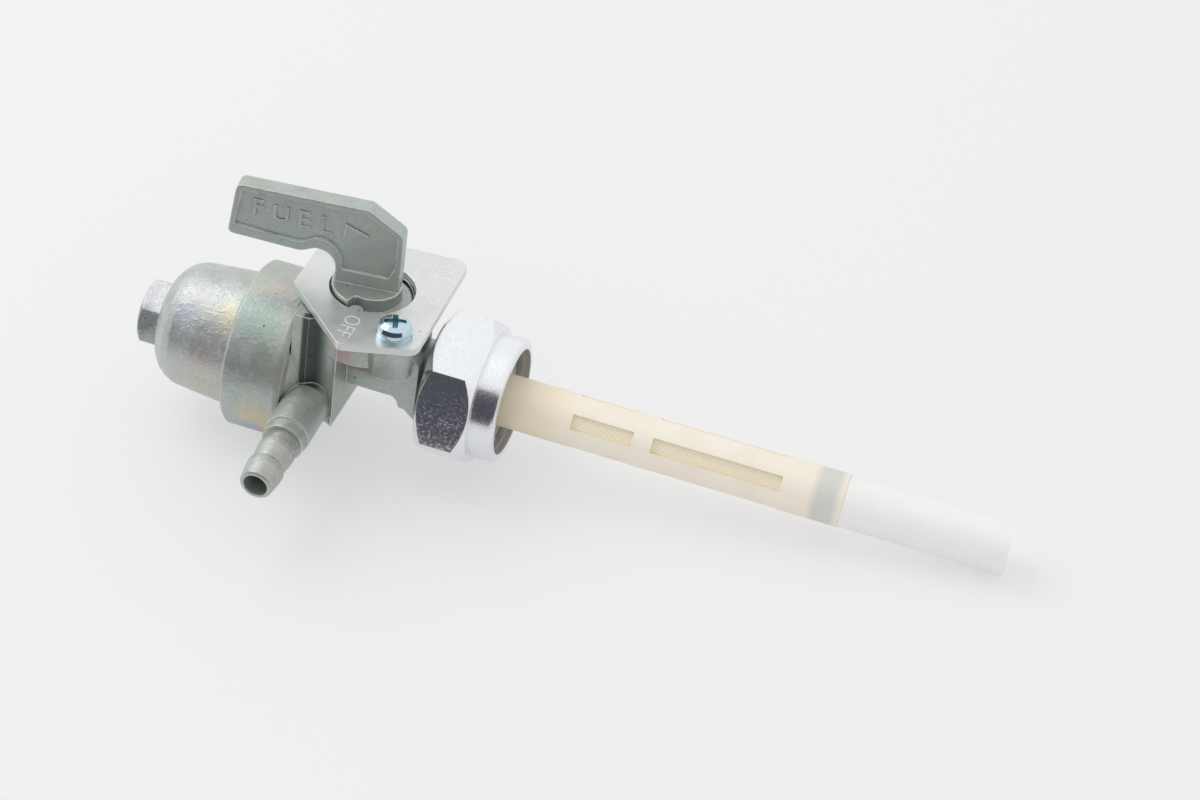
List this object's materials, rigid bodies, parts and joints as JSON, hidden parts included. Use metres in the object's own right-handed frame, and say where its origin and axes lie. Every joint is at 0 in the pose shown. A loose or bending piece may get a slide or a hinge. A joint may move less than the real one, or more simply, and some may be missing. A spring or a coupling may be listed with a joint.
{
  "type": "fuel tap",
  "caption": "Cast zinc fuel tap with a FUEL lever, screw-on sediment bowl, hose spigot, union nut and a long tank strainer with standpipe.",
  "frame": {"origin": "centre of the tank gasket's outer face, where the tank's threaded boss lands", "axes": "+X along the stem towards the tank, +Z along the lever's axis away from the body, spigot towards -Y"},
  "size_m": [0.1743, 0.0558, 0.056],
  "materials": {
    "body_zinc": "satin",
    "bowl_zinc": "satin",
    "lever_zinc": "satin",
    "plate_zinc": "satin",
    "screw_zinc": "polished",
    "spring_steel": "satin",
    "nut_chrome": "polished",
    "gasket_fibre": "matte",
    "seal_rubber": "matte",
    "strainer_nylon": "satin",
    "mesh_nylon": "matte",
    "screen_nylon": "matte",
    "pipe_aluminium": "satin",
    "ferrule_plastic": "matte",
    "standpipe_nylon": "satin"
  },
  "bodies": {
    "tap": {"valve_body": "body_zinc", "bowl_screen_frame": "screen_nylon", "bowl_screen_mesh": "mesh_nylon", "valve_packing": "seal_rubber", "wave_washer": "spring_steel", "retainer_plate": "plate_zinc", "plate_screws": "screw_zinc", "screw_washers": "screw_zinc", "tank_gasket": "gasket_fibre", "strainer_frame": "strainer_nylon", "strainer_mesh": "mesh_nylon", "inner_pipe": "pipe_aluminium", "pipe_ferrule": "ferrule_plastic", "standpipe": "standpipe_nylon"},
    "lever": {"lever": "lever_zinc"},
    "nut": {"union_nut": "nut_chrome"},
    "bowl_seal": {"bowl_o_ring": "seal_rubber"},
    "bowl": {"sediment_bowl": "bowl_zinc"}
  },
  "joints": [
    {"name": "lever_turn", "type": "hinge", "parent": "tap", "child": "lever", "pos_m": [-0.0278, 0, 0.0156], "axis": [0, 0, 1], "range_deg": [-180, 0]},
    {"name": "nut_spin", "type": "hinge", "parent": "tap", "child": "nut", "pos_m": [0, 0, 0], "axis": [1, 0, 0], "continuous": true},
    {"name": "bowl_draw", "type": "slide", "parent": "tap", "child": "bowl_seal", "axis": [-1, 0, 0], "range_m": [0, 0.005]},
    {"name": "bowl_turn", "type": "hinge", "parent": "bowl_seal", "child": "bowl", "pos_m": [-0.05, 0, -0.0039], "axis": [-1, 0, 0], "range_deg": [0, 1800]}
  ],
  "couplings": [
    {"joint": "bowl_draw", "follows": "bowl_turn", "m_per_rad": 0.00015915}
  ]
}
